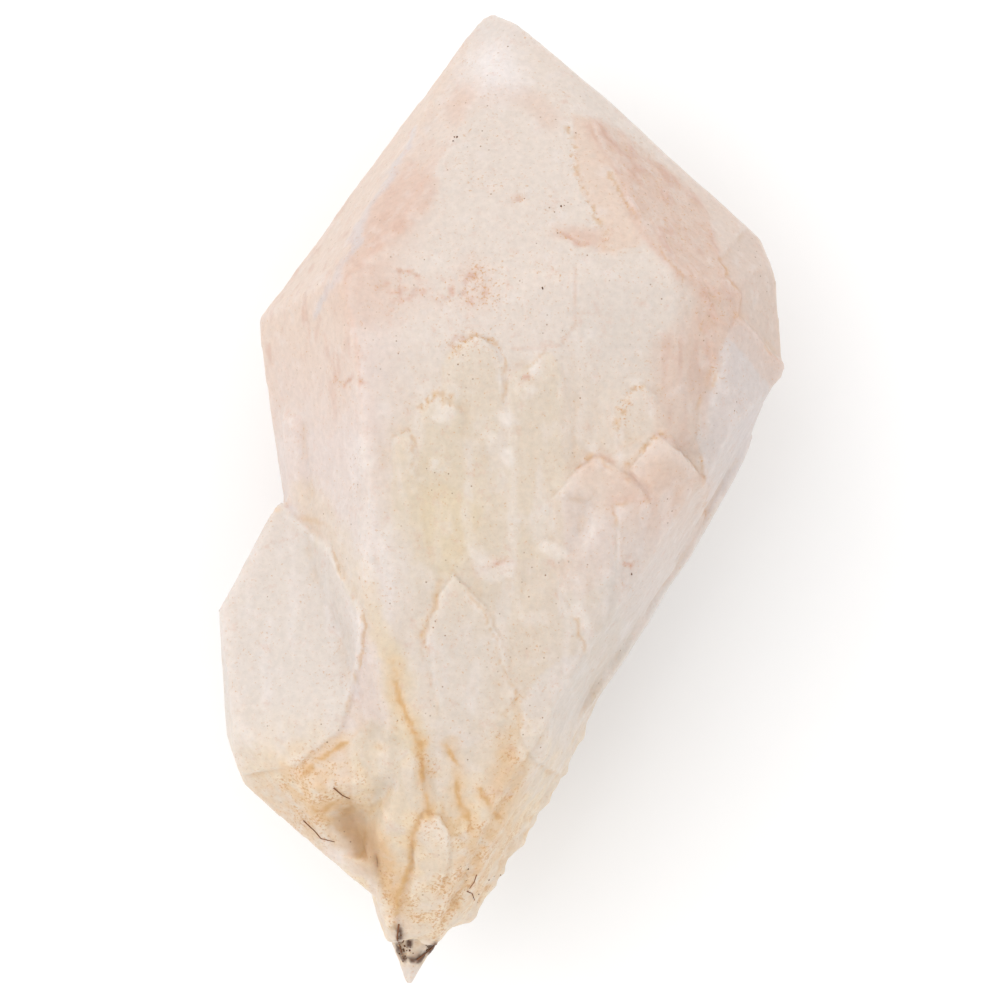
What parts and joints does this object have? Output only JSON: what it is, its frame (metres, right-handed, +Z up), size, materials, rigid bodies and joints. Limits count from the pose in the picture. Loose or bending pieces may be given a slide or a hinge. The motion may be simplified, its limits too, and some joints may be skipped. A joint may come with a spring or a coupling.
{
  "type": "quartz point",
  "caption": "Milky candle-quartz point: a main crystal with sloping end faces, smaller crystals grown onto its sides and a narrow root, lying on one flat side.",
  "frame": {"origin": "middle of the underside of the bounding box, on the surface the stone rests on", "axes": "+Y towards the point, +Z up from the flat side that it rests on, +X to the right as seen from above with the point away"},
  "size_m": [0.0856, 0.1502, 0.0677],
  "materials": {
    "quartz": "natural milky quartz faces with iron stain in the steps"
  },
  "bodies": {
    "root": {"quartz_point": "quartz"}
  },
  "joints": []
}
